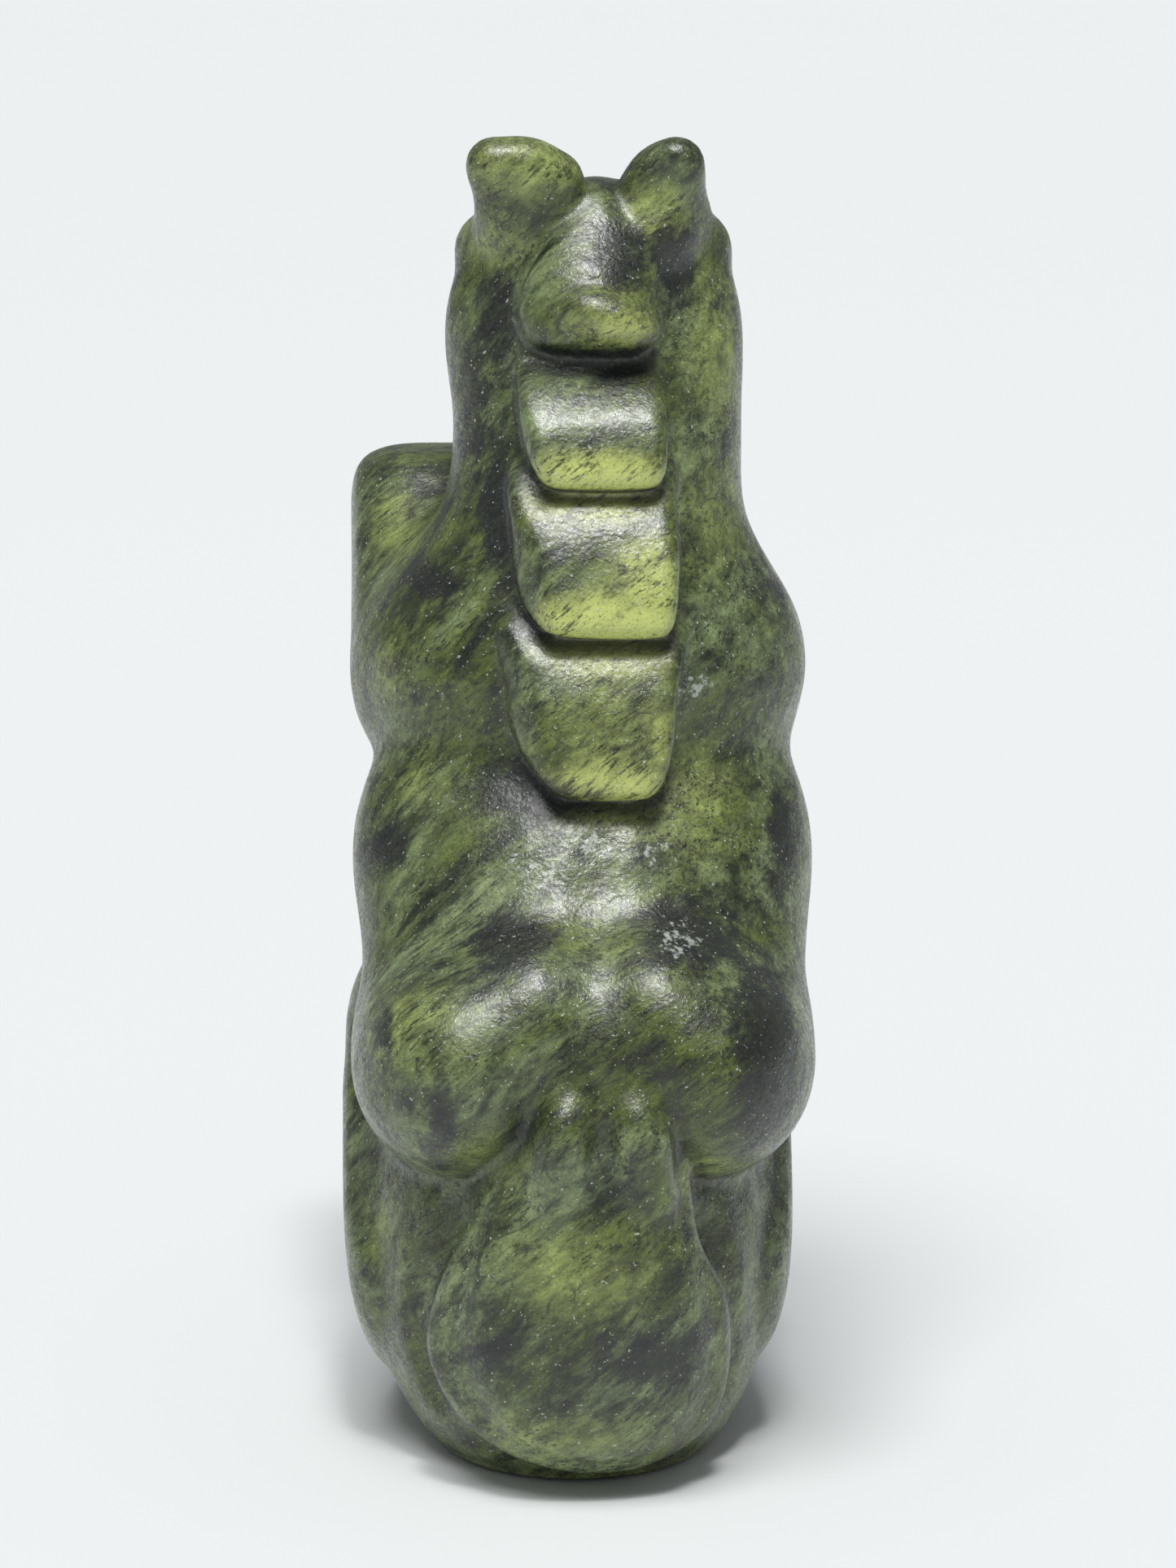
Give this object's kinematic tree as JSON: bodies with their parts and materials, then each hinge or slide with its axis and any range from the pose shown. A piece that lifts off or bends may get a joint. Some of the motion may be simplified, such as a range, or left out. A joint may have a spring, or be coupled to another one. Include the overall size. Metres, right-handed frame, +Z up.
{
  "type": "carved jade horse figurine",
  "caption": "Small carved jade horse rearing over a rounded rock, with a stepped mane and a fanned tail. Stands free on its flat foot as an ornament.",
  "frame": {"origin": "middle of the flat foot that the carving stands on, at the level of the table", "axes": "+Z up; +Y the way the horse faces, from its tail to its head; +X to the horse's right"},
  "size_m": [0.0283, 0.0451, 0.0799],
  "materials": {
    "jade": "mottled olive-green nephrite, hand-rubbed to a waxy half-gloss"
  },
  "bodies": {
    "root": {"mane_lock_1": "jade", "mane_lock_2": "jade", "mane_lock_3": "jade", "mane_lock_4": "jade", "left_ear": "jade", "right_ear": "jade", "tail": "jade", "left_haunch": "jade", "right_haunch": "jade", "left_foreleg": "jade", "right_foreleg": "jade", "head": "jade", "neck": "jade", "chest": "jade", "barrel": "jade", "left_hind_leg": "jade", "right_hind_leg": "jade", "rock_column": "jade", "rock_base": "jade"}
  },
  "joints": []
}
